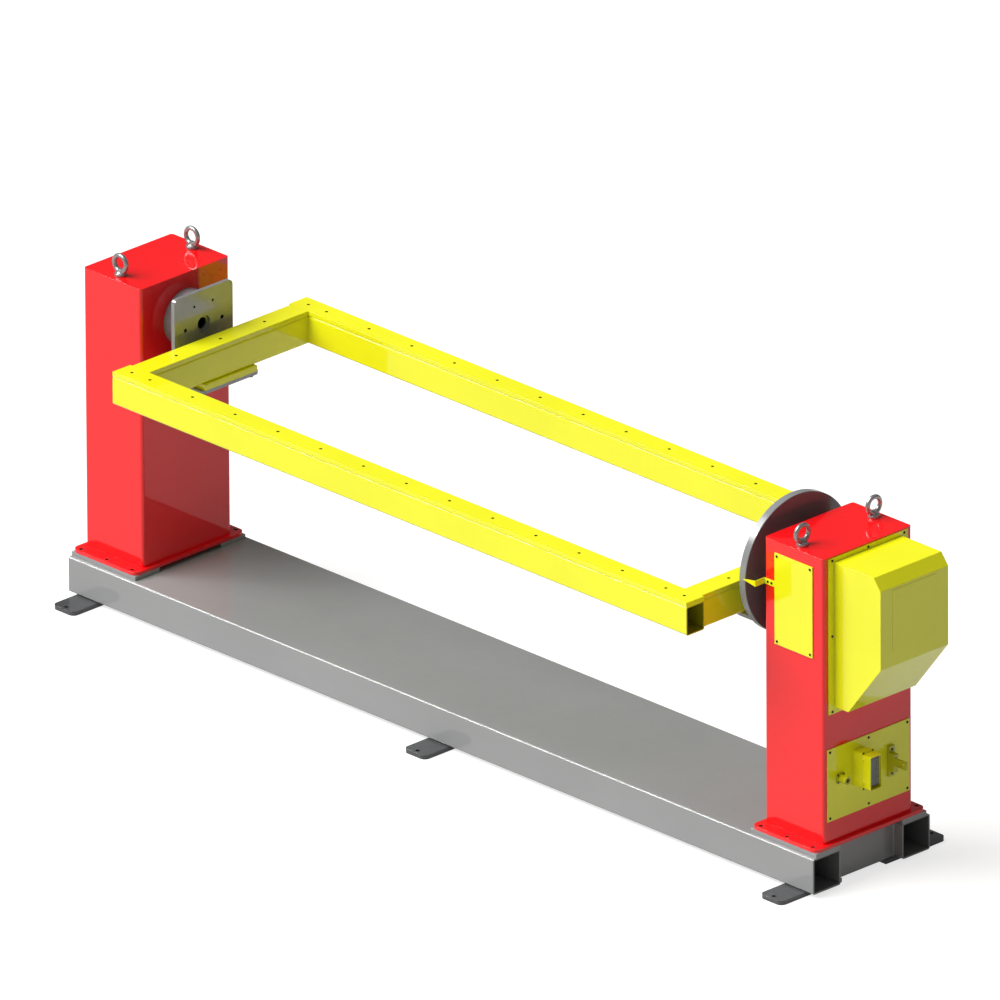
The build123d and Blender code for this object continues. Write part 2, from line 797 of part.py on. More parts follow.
def gear_unit():
    rear = column_in + gear_length
    body = rod_x(nose_radius, column_in - nose_length, column_in, z=axis_height)
    body += rod_x(gear_radius, column_in, rear, z=axis_height)
    body += rod_x(gear_rear_radius, rear, rear + gear_rear_length, z=axis_height)
    bore_end = column_in - nose_length + main_spindle_length + 5
    body -= rod_x(main_spindle_radius + running_gap, column_in - nose_length - cut_past, bore_end,
                  z=axis_height)
    body -= rod_x(input_shaft_radius + running_gap, rear + gear_rear_length - input_shaft_depth - 2,
                  rear + gear_rear_length + cut_past, z=axis_height)
    screws = []
    nose_front = column_in - nose_length
    for y, z in circle_points(nose_screw_count, gear_radius + nose_radius):
        sink = nose_front + nose_screw
        body -= rod_x(nose_screw / 2, nose_front - cut_past, column_in + cut_past, y, z)
        body -= rod_x(nose_screw * 0.75 + thread_gap, nose_front - cut_past, sink, y, z)
        shank = rod_x(nose_screw / 2 - thread_gap, sink, column_in + column_wall, y, z)
        screws.append(shank + rod_x(nose_screw * 0.75, nose_front + thread_gap, sink, y, z))
    save("gear_housing", body)
    flange_back = column_in - nose_length - shake_gap
    spindle = rod_x(output_flange_radius, face_out, flange_back, z=axis_height)
    spindle += rod_x(main_spindle_radius, flange_back, flange_back + main_spindle_length,
                     z=axis_height)
    for y, z in circle_points(face_screw_count, face_screw_circle, 22.5):
        spindle -= rod_x(face_screw / 2, face_out - cut_past, face_out + face_screw_grip + cut_past, y, z)
    save("main_spindle", spindle)
    return screws


def toothed_pulley(teeth, z):
    """Belt pulley with trapezoid grooves and a cheek each side, about the X axis at height z."""
    pitch_radius = teeth * tooth_pitch / (2 * pi)
    near, far = pulley_near, pulley_near + pulley_width
    wheel = Circle(pitch_radius)
    root, mouth = tooth_pitch * 0.32, tooth_pitch * 0.46
    low, high = pitch_radius - tooth_depth, pitch_radius + cut_past
    groove = make_face(Polyline((low, -root / 2), (high, -mouth / 2), (high, mouth / 2),
                                (low, root / 2), close=True))
    wheel -= [Rot(0, 0, 360 * i / teeth) * groove for i in range(teeth)]
    pulley = prism_x(Pos(0, z) * wheel, near + pulley_cheek, far - pulley_cheek)
    for start in (near, far - pulley_cheek):
        pulley += rod_x(pitch_radius + pulley_cheek_rise, start, start + pulley_cheek, z=z)
    return pulley


def belt_loop(big, small, distance):
    """Closed belt outline about two wheels, the big one at the origin and the small one below."""
    lean = asin((big - small) / distance)
    lift = (big * sin(lean), small * sin(lean))
    reach = (big * cos(lean), small * cos(lean))
    right_top, right_low = (reach[0], -lift[0]), (reach[1], -distance - lift[1])
    left_top, left_low = (-reach[0], -lift[0]), (-reach[1], -distance - lift[1])
    edges = [Line(right_top, right_low), ThreePointArc(right_low, (0, -distance - small), left_low),
             Line(left_low, left_top), ThreePointArc(left_top, (0, big), right_top)]
    return make_face(edges)


def drive_parts():
    near, far = pulley_near, pulley_near + pulley_width
    gear_end = column_in + gear_length + gear_rear_length
    shaft = rod_x(input_shaft_radius, gear_end - input_shaft_depth, far + shaft_nose, z=axis_height)
    save("reducer_input_shaft", shaft)
    pulley = toothed_pulley(input_teeth, axis_height)
    save("input_pulley", pulley - rod_x(input_shaft_radius, near - cut_past, far + cut_past, z=axis_height))
    plate_near = wall_inner - motor_plate_thickness
    motor_shaft = rod_x(motor_shaft_radius, plate_near - motor_shaft_depth, far + shaft_nose, z=motor_z)
    save("motor_shaft", motor_shaft)
    pulley = toothed_pulley(motor_teeth, motor_z)
    save("motor_pulley", pulley - rod_x(motor_shaft_radius, near - cut_past, far + cut_past, z=motor_z))
    window_low = hood_low + drive_window_margin
    plate_half = hood_half - drive_window_margin + 2 * column_corner
    plate_low = window_low - 2 * column_corner
    plate_high = motor_z + motor_size / 2 + column_corner
    outline = Pos(0, (plate_low + plate_high) / 2) * Rectangle(2 * plate_half, plate_high - plate_low)
    plate = prism_x(outline, plate_near, wall_inner)
    plate -= rod_x(motor_pilot / 2, plate_near - cut_past, wall_inner + cut_past, z=motor_z)
    for y, z in guard_screw_places():
        if plate_low < z < plate_high:
            plate -= rod_x(small_screw / 2, plate_near - cut_past, wall_inner + cut_past, y, z)
    screws = []
    for i in (-1, 1):
        for j in (-1, 1):
            y, z = i * motor_screw_pitch / 2, motor_z + j * motor_screw_pitch / 2
            plate -= rod_x(motor_screw / 2, plate_near - cut_past, wall_inner + cut_past, y, z)
            screws.append(screw_x(0, y, z, wall_inner, motor_screw, motor_screw * 1.5, motor_screw,
                                  motor_plate_thickness))
    save("motor_plate", plate)
    front = Pos(0, motor_z) * RectangleRounded(motor_size, motor_size, motor_corner)
    motor = prism_x(front, plate_near - motor_length, plate_near)
    cap = Pos(0, motor_z) * RectangleRounded(motor_cap_size, motor_cap_size, motor_corner)
    motor += prism_x(cap, plate_near - motor_length - motor_cap_length, plate_near - motor_length)
    motor -= rod_x(motor_shaft_radius + running_gap, plate_near - motor_shaft_depth - 2,
                   plate_near + cut_past, z=motor_z)
    save("servo_motor", motor)
    inner = belt_loop(input_radius + belt_gap, motor_radius + belt_gap, motor_drop)
    outer = belt_loop(input_radius + belt_gap + belt_thickness,
                      motor_radius + belt_gap + belt_thickness, motor_drop)
    belt = prism_x(Pos(0, axis_height) * (outer - inner), near + pulley_cheek + belt_side_gap,
                   far - pulley_cheek - belt_side_gap)
    save("toothed_belt", belt)
    return screws


def small_screws_x(places, seat, depth):
    return [screw_x(0, y, z, seat, small_screw, small_screw_head, small_screw_rise, depth)
            for y, z in places]


def guard_parts():
    outline = make_face(hood_profile())
    room = offset(outline, -guard_wall, kind=Kind.INTERSECTION)
    hood = prism_y(outline, -hood_half, hood_half)
    inside = prism_y(room, -hood_half + guard_wall, hood_half - guard_wall)
    for step in (0, guard_wall, 2 * guard_wall):
        hood -= Pos(-step, 0, 0) * inside
    far = column_out + hood_depth
    hood += block((far, far + hood_panel), (-hood_panel_half, hood_panel_half),
                  (axis_height - hood_panel_drop, axis_height + hood_panel_rise))
    ring = Pos(0, (guard_low + guard_high) / 2) * Rectangle(2 * guard_half, guard_high - guard_low)
    mouth = Pos(0, (hood_low + hood_high) / 2) * Rectangle(2 * (hood_half - guard_wall),
                                                           hood_high - hood_low - 2 * guard_wall)
    guard = hood + prism_x(ring - mouth, column_out, column_out + guard_flange)
    for y, z in guard_screw_places():
        guard -= rod_x(small_screw / 2, column_out - cut_past, column_out + guard_flange + cut_past, y, z)
    save("drive_guard", guard)
    return small_screws_x(guard_screw_places(), column_out + guard_flange,
                          guard_flange + column_wall)


def access_parts():
    outline = Pos(column_x, access_low + access_height / 2) * Rectangle(access_width, access_height)
    front = -column_half - access_thickness
    panel = prism_y(outline, front, -column_half)
    screws = []
    for x, z in access_screw_places():
        panel -= rod_y(small_screw / 2, front - cut_past, -column_half + cut_past, x, z)
        shank = rod_y(small_screw / 2 - thread_gap, front, -column_half + column_wall, x, z)
        screws.append(shank + rod_y(small_screw_head / 2, front - small_screw_rise, front, x, z))
    save("access_panel", panel)
    return screws


def plug_places():
    return [(plug_y + i * pin_spread, plug_z + (j - (pin_rows - 1) / 2) * pin_pitch)
            for i in (-1, 1) for j in range(pin_rows)]


def connector_parts():
    near, front = column_out, column_out + panel_thickness
    outline = Pos(0, (panel_low + panel_high) / 2) * Rectangle(2 * panel_half, panel_high - panel_low)
    body = Pos(plug_y, plug_z) * RectangleRounded(plug_width, plug_height, plug_corner)
    room = Pos(plug_y, plug_z) * RectangleRounded(plug_width - 2 * plug_wall,
                                                  plug_height - 2 * plug_wall, plug_corner - plug_wall)
    panel = prism_x(outline - room, near, front)
    for y, z in panel_screw_places():
        panel -= rod_x(small_screw / 2, near - cut_past, front + cut_past, y, z)
    panel -= rod_x(coupling_bore, near - cut_past, front + cut_past, coupling_y, coupling_z)
    save("connector_panel", panel)
    screws = small_screws_x(panel_screw_places(), front, panel_thickness + column_wall)
    step = front + plug_base_depth
    face = front + plug_depth
    flange = Pos(plug_y, plug_z) * RectangleRounded(plug_width + 4, plug_flange_height, plug_corner)
    plinth = Pos(plug_y, plug_z) * RectangleRounded(plug_width + 2, plug_height + 6, plug_corner)
    save("connector_base", prism_x(plinth - room, front, step))
    housing = prism_x(body, step, face) + prism_x(flange, step, step + plug_flange_thickness)
    for i in (-1, 1):
        for j in (-1, 1):
            side, end = plug_y + i * plug_width / 2, plug_y + i * (plug_width / 2 + peg_rise)
            housing += rod_y(peg_radius, min(side - i, end), max(side - i, end),
                             step + peg_back, plug_z + j * peg_spread)
    save("connector_housing", housing - prism_x(room, step - cut_past, face + cut_past))
    core = Pos(plug_y, plug_z) * RectangleRounded(plug_width - 2 * plug_wall, insert_height,
                                                  plug_corner - plug_wall)
    insert = prism_x(core, step, face - insert_recess)
    insert -= [prism_x(Pos(y, z) * Circle(pin_size / 2), face - insert_recess - pin_rise,
                       face - insert_recess + cut_past) for y, z in plug_places()]
    save("connector_insert", insert)
    square = Pos(coupling_y, coupling_z) * RectangleRounded(coupling_flange, coupling_flange, 4)
    coupling = prism_x(square, front, front + coupling_flange_thickness)
    coupling += rod_x(coupling_radius, front, front + coupling_length, coupling_y, coupling_z)
    coupling -= rod_x(coupling_bore, front - cut_past, front + coupling_length + cut_past,
                      coupling_y, coupling_z)
    save("round_coupling", coupling)
    return screws + earth_parts(front)


def earth_parts(seat):
    """Earth terminal: strip on the panel, a block on it and a flat tab with the lug hole."""
    side = earth_y - earth_strip_width / 2
    strip_front = seat + earth_strip_thickness
    block_front = strip_front + earth_block_depth
    terminal = block((seat, strip_front), (side, side + earth_strip_width),
                     (earth_z - earth_strip_height / 2, earth_z + earth_strip_height / 2))
    terminal += block((strip_front, block_front), (side, side + earth_block_width),
                      (earth_z - earth_block_height / 2, earth_z + earth_block_height / 2))
    tip = block_front + earth_tab_length
    tab = block((block_front, tip), (side, side + earth_tab_thickness),
                (earth_tab_z - earth_tab_height / 2, earth_tab_z + earth_tab_height / 2))
    tab = fillet(tab.edges().filter_by(Axis.Y).group_by(Axis.X)[-1], 3)
    terminal += tab
    hole_x = tip - earth_tab_height / 2 - 4
    terminal -= rod_y(earth_hole / 2, side - cut_past, side + earth_tab_thickness + cut_past,
                      hole_x, earth_tab_z)
    screws = []
    for i in (-1, 1):
        y, z = earth_y, earth_z + i * earth_screw_pitch / 2
        terminal -= rod_x(small_screw / 2, seat - cut_past, strip_front + cut_past, y, z)
        screws.append(screw_x(0, y, z, strip_front, small_screw, small_screw_head,
                              small_screw_rise, earth_strip_thickness))
    save("earth_terminal", terminal)
    return screws


def pointer_parts():
    """Bent strip: a foot on the column, a leg outwards and an arm along the faceplate's rim."""
    low, high = pointer_z - pointer_height / 2, pointer_z + pointer_height / 2
    wall = -column_half
    foot = column_in
    arm_y = wall - pointer_leg
    tip_x = face_out - pointer_tip_gap
    strip = block((foot, foot + pointer_foot), (wall - pointer_thickness, wall), (low, high))
    strip += block((foot, foot + pointer_thickness), (arm_y, wall), (low, high))
    tip_low, tip_high = pointer_z - pointer_tip_height / 2, pointer_z + pointer_tip_height / 2
    arm = make_face(Polyline((foot + pointer_thickness, low), (foot, low), (tip_x, tip_low),
                             (tip_x, tip_high), (foot, high), (foot + pointer_thickness, high),
                             close=True))
    strip += prism_y(arm, arm_y, arm_y + pointer_thickness)
    front = wall - pointer_thickness
    screws = []
    for x, z in pointer_screw_places():
        strip -= rod_y(small_screw / 2, front - cut_past, wall + cut_past, x, z)
        shank = rod_y(small_screw / 2 - thread_gap, front, wall + column_wall, x, z)
        screws.append(shank + rod_y(small_screw_head / 2, front - small_screw_rise, front, x, z))
    save("angle_pointer", strip)
    return screws


os.makedirs("parts", exist_ok=True)
base_parts()
feet_parts()
flange_parts()
tail_column()
head_column()
eye_parts()
tail_bracket()
save("bracket_screws", *(tail_cartridge() + faceplate_parts()))
frame_parts()
save("drive_screws", *(gear_unit() + drive_parts()))
save("cover_screws", *(guard_parts() + access_parts() + connector_parts() + pointer_parts()))
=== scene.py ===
import json
import math

import bmesh
import bpy
from mathutils import Matrix, Vector


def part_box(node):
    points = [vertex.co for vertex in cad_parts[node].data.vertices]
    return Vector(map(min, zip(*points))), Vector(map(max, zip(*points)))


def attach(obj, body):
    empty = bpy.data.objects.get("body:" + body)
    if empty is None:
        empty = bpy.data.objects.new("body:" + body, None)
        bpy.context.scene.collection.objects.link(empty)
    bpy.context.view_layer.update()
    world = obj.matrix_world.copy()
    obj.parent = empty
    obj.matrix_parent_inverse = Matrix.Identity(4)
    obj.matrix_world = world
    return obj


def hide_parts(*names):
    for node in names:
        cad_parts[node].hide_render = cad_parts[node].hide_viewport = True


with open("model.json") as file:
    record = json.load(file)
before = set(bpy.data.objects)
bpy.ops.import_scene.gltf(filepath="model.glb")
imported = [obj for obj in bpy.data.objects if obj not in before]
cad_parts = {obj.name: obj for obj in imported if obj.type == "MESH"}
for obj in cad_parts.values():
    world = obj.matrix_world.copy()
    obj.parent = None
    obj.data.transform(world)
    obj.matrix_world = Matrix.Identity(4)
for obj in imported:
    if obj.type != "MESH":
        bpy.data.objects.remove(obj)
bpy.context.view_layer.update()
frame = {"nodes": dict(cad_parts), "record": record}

NODES = frame["nodes"]
SLOTS = {part["node"]: part["material_slot"] for part in frame["record"]["subparts"]}
BODIES = {node: body for body, members in frame["record"]["behaviour"]["bodies"].items()
          for node in members}

# Photograph's view: right and up directions of a camera so far off that it is nearly parallel
VIEW_RIGHT = Vector((0.6976, 0.7164, -0.0050))
VIEW_UP = Vector((-0.2811, 0.2801, 0.9179))
VIEW_WIDTH = 3.246
VIEW_CENTRE = Vector((0.0163, 0.0051, 0.7956))
LENS = 1650.0
SENSOR = 36.0

# Sizes and places on the part, in metres
AXIS_HEIGHT = 1.002
FRAME_TOP = 0.973
RAIL_MIDDLE = 0.4
RAIL_WALL = 0.004
BASE_TUBE_WALL = 0.006
CORNER_HOLE = 1.285
HOLE_PITCH = 0.2
ROW_HOLES = 13
BAR_LINER = 0.00547
BAR_LINER_DEPTH = 0.016
PLATE_CIRCLE = 0.083
PLATE_LINERS = (0.00697, 0.00447, 0.00447)
PLATE_LINER_DEPTH = 0.015
DECK_THICKNESS = 0.01
END_PLATE_THICKNESS = 0.01
WELD_SIZE = 0.005
WELD_RIPPLE = 0.002
BAR_EASE = 0.001
CONNECTOR_FLANGE = 0.004
COUPLING_FLANGE = 0.005
EYE_HEIGHT = 0.078
EYE_RING = 0.028
EYE_WIRE = 0.008
EYE_FOOT = 0.002
EYE_SHANK = 0.0098
EYE_SHANK_LENGTH = 0.03
EYE_THREAD = 0.0025
EYE_STEPS = 48
EYE_SIDES = 20
EYE_COLLAR = [(0, 0.027), (0.0085, 0.023), (0.0095, 0.019), (0.011, 0.0155), (0.0135, 0.0125),
              (0.0165, 0.0108), (0.0188, 0.0102), (0.0197, 0.0092), (0.02, 0.008), (0.02, 0.0012),
              (0.0188, 0), (EYE_SHANK, 0)]
SAME_PLACE = 0.00001
SAME_PLANE = 0.0001

# Shares of a size
THREAD_DEPTH = 0.6
KNURL_DEPTH = 0.035
HEAD_SHARE = 0.9
ALONG_X = Vector((1, 0, 0)).to_track_quat("Z", "Y").to_matrix().to_4x4()


def corners(node):
    """Low and high corners of a CAD node's box."""
    return [Vector(corner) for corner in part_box(node)]


def make_camera():
    """Camera with a very long lens, turned and framed as in the photograph."""
    right = VIEW_RIGHT.normalized()
    back = right.cross(VIEW_UP).normalized()
    up = back.cross(right)
    distance = VIEW_WIDTH * LENS / SENSOR
    data = bpy.data.cameras.new("camera")
    data.lens = LENS
    data.sensor_width = SENSOR
    data.clip_start = 1.0
    data.clip_end = 10000.0
    camera = bpy.data.objects.new("camera", data)
    bpy.context.scene.collection.objects.link(camera)
    turn = Matrix((right, up, back)).transposed().to_4x4()
    camera.matrix_world = Matrix.Translation(VIEW_CENTRE + back * distance) @ turn
    bpy.context.scene.camera = camera


def lamp(name, energy, direction, spread):
    """A sun that shines from the given direction, with soft shadows."""
    data = bpy.data.lights.new(name, "SUN")
    data.energy = energy
    data.angle = spread
    light = bpy.data.objects.new(name, data)
    light.rotation_euler = Vector(direction).to_track_quat("Z", "Y").to_euler()
    bpy.context.scene.collection.objects.link(light)


def socket(value, node, name, links):
    """Link a socket, or set a plain value."""
    if isinstance(value, bpy.types.NodeSocket):
        links.new(value, node.inputs[name])
    else:
        node.inputs[name].default_value = value


def calculate(nodes, links, operation, *values):
    """Result of a math node for values that are sockets or plain numbers."""
    node = nodes.new("ShaderNodeMath")
    node.operation = operation
    for i, value in enumerate(values):
        socket(value, node, i, links)
    return node.outputs[0]


def by_ray(nodes, links, plain, camera, glossy):
    """A value that depends on where the ray comes from."""
    path = nodes.new("ShaderNodeLightPath")
    total = plain
    for output, value in (("Is Camera Ray", camera), ("Is Glossy Ray", glossy)):
        total = calculate(nodes, links, "MULTIPLY_ADD", path.outputs[output], value - plain, total)
    return total


def make_world(plain, glossy):
    """White studio, dimmer as a light and in reflections than the camera sees it."""
    world = bpy.data.worlds.new("studio")
    bpy.context.scene.world = world
    world.use_nodes = True
    nodes, links = world.node_tree.nodes, world.node_tree.links
    background = nodes["Background"]
    links.new(by_ray(nodes, links, plain, 1.0, glossy), background.inputs["Strength"])
    background.inputs["Color"].default_value = (1, 1, 1, 1)


def make_floor(size, glow, mirrored):
    """Pale floor that glows for the camera, and less in reflections, and keeps the shadow."""
    mesh = bpy.data.meshes.new("floor")
    half = size / 2
    mesh.from_pydata([(-half, -half, 0), (half, -half, 0), (half, half, 0), (-half, half, 0)], [],
                     [(0, 1, 2, 3)])
    floor = bpy.data.objects.new("floor", mesh)
    bpy.context.scene.collection.objects.link(floor)
    material, nodes, links = new_material("floor")
    shader = nodes["Principled BSDF"]
    shader.inputs["Base Color"].default_value = (0.42, 0.42, 0.42, 1)
    shader.inputs["Roughness"].default_value = 0.9
    shader.inputs["Specular IOR Level"].default_value = 0.0
    shader.inputs["Emission Color"].default_value = (1, 1, 1, 1)
    links.new(by_ray(nodes, links, 0.0, glow, mirrored), shader.inputs["Emission Strength"])
    mesh.materials.append(material)


def new_material(name):
    """Material with its nodes and links."""
    material = bpy.data.materials.new(name)
    material.use_nodes = True
    return material, material.node_tree.nodes, material.node_tree.links


def noise(nodes, links, scale, detail, stretch=None):
    """Noise in the object's own coordinates, finer along an axis that stretch makes larger."""
    coords = nodes.new("ShaderNodeTexCoord")
    texture = nodes.new("ShaderNodeTexNoise")
    texture.inputs["Scale"].default_value = scale
    texture.inputs["Detail"].default_value = detail
    source = coords.outputs["Object"]
    if stretch:
        mapping = nodes.new("ShaderNodeMapping")
        mapping.inputs["Scale"].default_value = stretch
        links.new(source, mapping.inputs["Vector"])
        source = mapping.outputs[0]
    links.new(source, texture.inputs["Vector"])
    return texture.outputs["Fac"]


def ramp(nodes, links, fac, low, high, start=0.35, end=0.65):
    """Map a noise value to the range from low to high."""
    node = nodes.new("ShaderNodeMapRange")
    node.inputs["From Min"].default_value = start
    node.inputs["From Max"].default_value = end
    node.inputs["To Min"].default_value = low
    node.inputs["To Max"].default_value = high
    links.new(fac, node.inputs["Value"])
    return node.outputs[0]


def mix_colour(nodes, links, fac, first, second):
    """Mix a colour or a colour socket with a second colour."""
    node = nodes.new("ShaderNodeMix")
    node.data_type = "RGBA"
    links.new(fac, node.inputs["Factor"])
    socket(first if isinstance(first, bpy.types.NodeSocket) else (*first, 1), node, "A", links)
    socket((*second, 1), node, "B", links)
    return node.outputs["Result"]


def tube_inside(nodes, links, node, wall):
    """1 on the inner walls of a tube along X and of its twin across the middle plane."""
    low, high = corners(node)
    middle, reach = (low + high) / 2, (high - low - Vector((wall, wall, wall))) / 2
    coords = nodes.new("ShaderNodeTexCoord")
    parts = nodes.new("ShaderNodeSeparateXYZ")
    links.new(coords.outputs["Object"], parts.inputs[0])
    aside = calculate(nodes, links, "ABSOLUTE", parts.outputs["Y"])
    within_y = calculate(nodes, links, "COMPARE", aside, abs(middle.y), reach.y)
    within_z = calculate(nodes, links, "COMPARE", parts.outputs["Z"], middle.z, reach.z)
    return calculate(nodes, links, "MULTIPLY", within_y, within_z)


def bumped(nodes, links, height, strength, distance, edge):
    """Normal from a height value, over an edge softened by a radius if it isn't 0."""
    bump = nodes.new("ShaderNodeBump")
    bump.inputs["Strength"].default_value = strength
    bump.inputs["Distance"].default_value = distance
    links.new(height, bump.inputs["Height"])
    if edge:
        bevel = nodes.new("ShaderNodeBevel")
        bevel.samples = 4
        bevel.inputs["Radius"].default_value = edge
        links.new(bevel.outputs[0], bump.inputs["Normal"])
    return bump.outputs[0]


def paint(name, colour, shade, edge=0.0015, rough=0.32, coat=1.0, tube=None, inner=None):
    """Glossy enamel: slight tone changes, orange peel and fine dust in the clear layer.

    A tube, given by its node and wall, is painted darker inside: painted shade in its hollow.
    """
    material, nodes, links = new_material(name)
    shader = nodes["Principled BSDF"]
    tone = ramp(nodes, links, noise(nodes, links, 2.3, 4.0), 0.0, 1.0)
    tint = mix_colour(nodes, links, tone, colour, shade)
    # painted shade: a tube's inner walls take the darker inner colour
    if tube:
        tint = mix_colour(nodes, links, tube_inside(nodes, links, *tube), tint, inner)
    socket(tint, shader, "Base Color", links)
    dust = ramp(nodes, links, noise(nodes, links, 26.0, 6.0), rough, rough + 0.1)
    socket(dust, shader, "Roughness", links)
    shader.inputs["Coat Weight"].default_value = coat
    shader.inputs["Coat Roughness"].default_value = 0.02
    shader.inputs["Coat IOR"].default_value = 1.55
    shader.inputs["Specular IOR Level"].default_value = 0.12
    grit = bumped(nodes, links, noise(nodes, links, 420.0, 2.0), 0.12, 0.0002, edge)
    socket(grit, shader, "Normal", links)
    peel = bumped(nodes, links, noise(nodes, links, 160.0, 2.0), 0.03, 0.0002, edge)
    socket(peel, shader, "Coat Normal", links)
    return material


def steel(name, colour, shade, rough, grain, lines, metallic=1.0):
    """Bare metal with machining lines, slight stain and a softened edge."""
    material, nodes, links = new_material(name)
    shader = nodes["Principled BSDF"]
    stain = ramp(nodes, links, noise(nodes, links, 9.0, 5.0), 0.0, 1.0)
    socket(mix_colour(nodes, links, stain, colour, shade), shader, "Base Color", links)
    shader.inputs["Metallic"].default_value = metallic
    brush = noise(nodes, links, 28.0, 5.0, grain)
    socket(ramp(nodes, links, brush, rough, rough + 0.14), shader, "Roughness", links)
    socket(bumped(nodes, links, brush, lines, 0.0002, 0.0008), shader, "Normal", links)
    return material


def turned(name, colour, shade, rough, centre, metallic):
    """Lathe-turned metal with fine rings about an axis along X, and end faces darkened as painted
    shade.
    """
    material, nodes, links = new_material(name)
    shader = nodes["Principled BSDF"]
    coords = nodes.new("ShaderNodeTexCoord")
    mapping = nodes.new("ShaderNodeMapping")
    mapping.inputs["Location"].default_value = (0, 0, -centre)
    mapping.inputs["Scale"].default_value = (0, 1, 1)
    links.new(coords.outputs["Object"], mapping.inputs["Vector"])
    wave = nodes.new("ShaderNodeTexWave")
    wave.wave_type = "RINGS"
    wave.rings_direction = "SPHERICAL"
    wave.inputs["Scale"].default_value = 160.0
    wave.inputs["Distortion"].default_value = 1.5
    wave.inputs["Detail"].default_value = 3.0
    links.new(mapping.outputs[0], wave.inputs["Vector"])
    parts = nodes.new("ShaderNodeSeparateXYZ")
    links.new(coords.outputs["Normal"], parts.inputs[0])
    across = calculate(nodes, links, "ABSOLUTE", parts.outputs["X"])
    # painted shade: faces across X take the darker shade colour
    face = ramp(nodes, links, across, 0.0, 1.0, 0.6, 0.95)
    socket(mix_colour(nodes, links, face, colour, shade), shader, "Base Color", links)
    shader.inputs["Metallic"].default_value = metallic
    socket(ramp(nodes, links, wave.outputs["Fac"], rough, rough + 0.1, 0.0, 1.0), shader,
           "Roughness", links)
    socket(bumped(nodes, links, wave.outputs["Fac"], 0.05, 0.0001, 0.001), shader, "Normal", links)
    return material


def moulded(name, colour, shade, rough, grit):
    """Moulded plastic or rubber with a fine grain."""
    material, nodes, links = new_material(name)
    shader = nodes["Principled BSDF"]
    tone = ramp(nodes, links, noise(nodes, links, 30.0, 5.0), 0.0, 1.0)
    socket(mix_colour(nodes, links, tone, colour, shade), shader, "Base Color", links)
    grain = noise(nodes, links, grit, 3.0)
    socket(ramp(nodes, links, grain, rough, rough + 0.15), shader, "Roughness", links)
    socket(bumped(nodes, links, grain, 0.2, 0.0002, 0.0004), shader, "Normal", links)
    return material


# Each enamel's two tones
YELLOWS = (0.92, 0.90, 0.008), (0.86, 0.85, 0.007)
GREYS = (0.305, 0.31, 0.308), (0.285, 0.29, 0.288)

RED = paint("red_enamel", (0.93, 0.003, 0.006), (0.89, 0.002, 0.005))
YELLOW = paint("yellow_enamel", *YELLOWS)
GREY = paint("grey_enamel", *GREYS)
DECK_GREY = paint("deck_enamel", *GREYS, edge=0.0)
# inner colours are painted shade inside the rail and base tubes
RAIL_YELLOW = paint("rail_enamel", *YELLOWS, tube=("long_rail_front", RAIL_WALL),
                    inner=(0.36, 0.35, 0.006))
TUBE_GREY = paint("tube_enamel", *GREYS, tube=("base_tube_front", BASE_TUBE_WALL),
                  inner=(0.17, 0.172, 0.171))
# painted shade: darker yellow for the connector parts under the hood's shadow
CONNECTOR_PAINTED_SHADE = paint("connector_enamel_painted_shade", (0.53, 0.52, 0.006), (0.49, 0.485, 0.005))
# painted shade: the feet's grey is darkened for the shade beside the base
FOOT_PAINTED_SHADE = paint("foot_enamel_painted_shade", (0.063, 0.066, 0.07), (0.052, 0.055, 0.059))
PLATE = steel("ground_plate", (0.34, 0.335, 0.33), (0.30, 0.298, 0.295), 0.08, (1, 1, 30), 0.03,
              metallic=0.4)
# the second colour is painted shade on the end faces
TURNED = turned("turned_steel", (0.27, 0.272, 0.275), (0.13, 0.15, 0.155), 0.16, AXIS_HEIGHT, 0.15)
BORED = steel("bored_steel", (0.12, 0.12, 0.12), (0.09, 0.09, 0.09), 0.25, (40, 1, 1), 0.05)
ZINC = steel("zinc_plate", (0.42, 0.42, 0.42), (0.35, 0.35, 0.35), 0.24, (6, 6, 6), 0.06,
             metallic=0.7)
BLACK = steel("black_oxide", (0.045, 0.043, 0.04), (0.02, 0.02, 0.022), 0.3, (8, 8, 8), 0.1)
BEARING = steel("bearing_steel", (0.6, 0.6, 0.6), (0.5, 0.5, 0.5), 0.08, (1, 40, 40), 0.03)
MOTOR = paint("motor_black", (0.02, 0.02, 0.022), (0.03, 0.03, 0.032), rough=0.45, coat=0.2)
INSERT = moulded("insert_plastic", (0.21, 0.21, 0.22), (0.17, 0.17, 0.18), 0.35, 900.0)
CONTACT = steel("contact_metal", (0.86, 0.85, 0.8), (0.8, 0.79, 0.74), 0.25, (9, 9, 9), 0.04,
                metallic=0.4)
RUBBER = moulded("belt_rubber", (0.016, 0.016, 0.016), (0.03, 0.03, 0.03), 0.6, 700.0)

FINISH = {
    "red_paint": RED, "yellow_paint": YELLOW, "grey_paint": GREY, "machined_steel": TURNED,
    "bearing_steel": BEARING, "zinc_steel": ZINC, "black_steel": BLACK, "motor_black": MOTOR,
    "connector_grey": CONNECTOR_PAINTED_SHADE, "connector_insert": INSERT, "belt_rubber": RUBBER,
    "plate_steel": PLATE,
}
OWN_FINISH = {
    "tail_bracket_plate": PLATE, "tail_bracket_shelf": PLATE, "head_bracket_plate": PLATE,
    "head_bracket_shelf": PLATE, "bearing_housing": TURNED, "round_coupling": CONNECTOR_PAINTED_SHADE,
    "earth_terminal": CONNECTOR_PAINTED_SHADE, "anchor_feet": FOOT_PAINTED_SHADE, "deck_plate": DECK_GREY,
    "tail_spindle": BORED, "long_rail_front": RAIL_YELLOW, "long_rail_back": RAIL_YELLOW,
    "base_tube_front": TUBE_GREY, "base_tube_back": TUBE_GREY,
}


def dress_nodes():
    """Give each CAD node the finish of its slot, or its own."""
    for name, node in NODES.items():
        material = OWN_FINISH.get(name) or FINISH[SLOTS[name]]
        if node.data.materials:
            for i in range(len(node.data.materials)):
                node.data.materials[i] = material
        else:
            node.data.materials.append(material)


